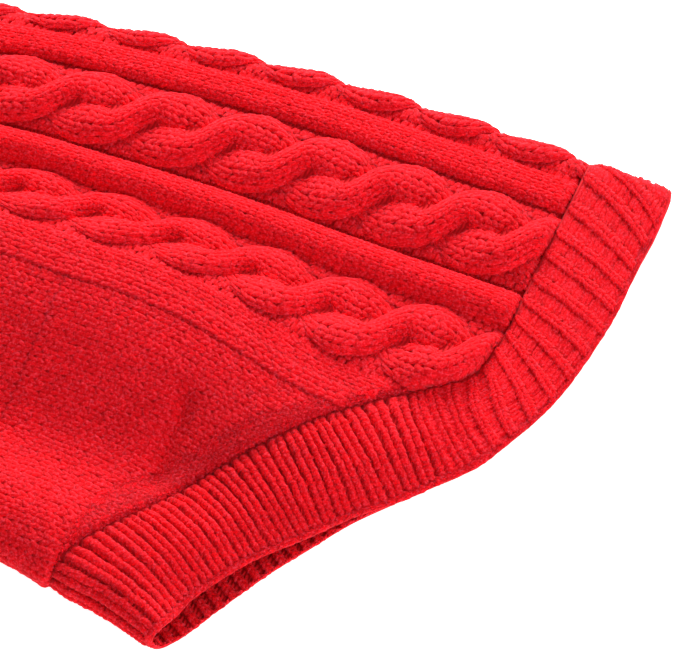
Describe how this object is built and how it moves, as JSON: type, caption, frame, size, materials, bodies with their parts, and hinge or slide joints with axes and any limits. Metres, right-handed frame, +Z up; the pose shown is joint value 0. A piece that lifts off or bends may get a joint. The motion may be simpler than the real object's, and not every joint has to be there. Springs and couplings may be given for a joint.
{
  "type": "dog sweater",
  "caption": "Hollow cable-knit dog sweater laid flat on its side, with a ribbed hem that slants to the belly, a ribbed collar and ribbed leg openings.",
  "frame": {"origin": "middle of the outline, on the surface that the lower flank rests on", "axes": "+Y from the tail hem towards the neck, +X from the belly fold towards the centre-back fold, +Z up out of the upper flank"},
  "size_m": [0.2318, 0.347, 0.0253],
  "materials": {
    "cable_knit": "soft matt wool-blend yarn in rope cables and raised stocking stitch",
    "plain_knit": "soft matt wool-blend yarn in stocking stitch",
    "ribbed_knit": "soft matt wool-blend yarn in one by one rib"
  },
  "bodies": {
    "root": {"back_panel": "cable_knit", "under_panel": "plain_knit", "hem_band": "ribbed_knit", "collar": "ribbed_knit", "left_armband": "ribbed_knit", "right_armband": "ribbed_knit"}
  },
  "joints": []
}
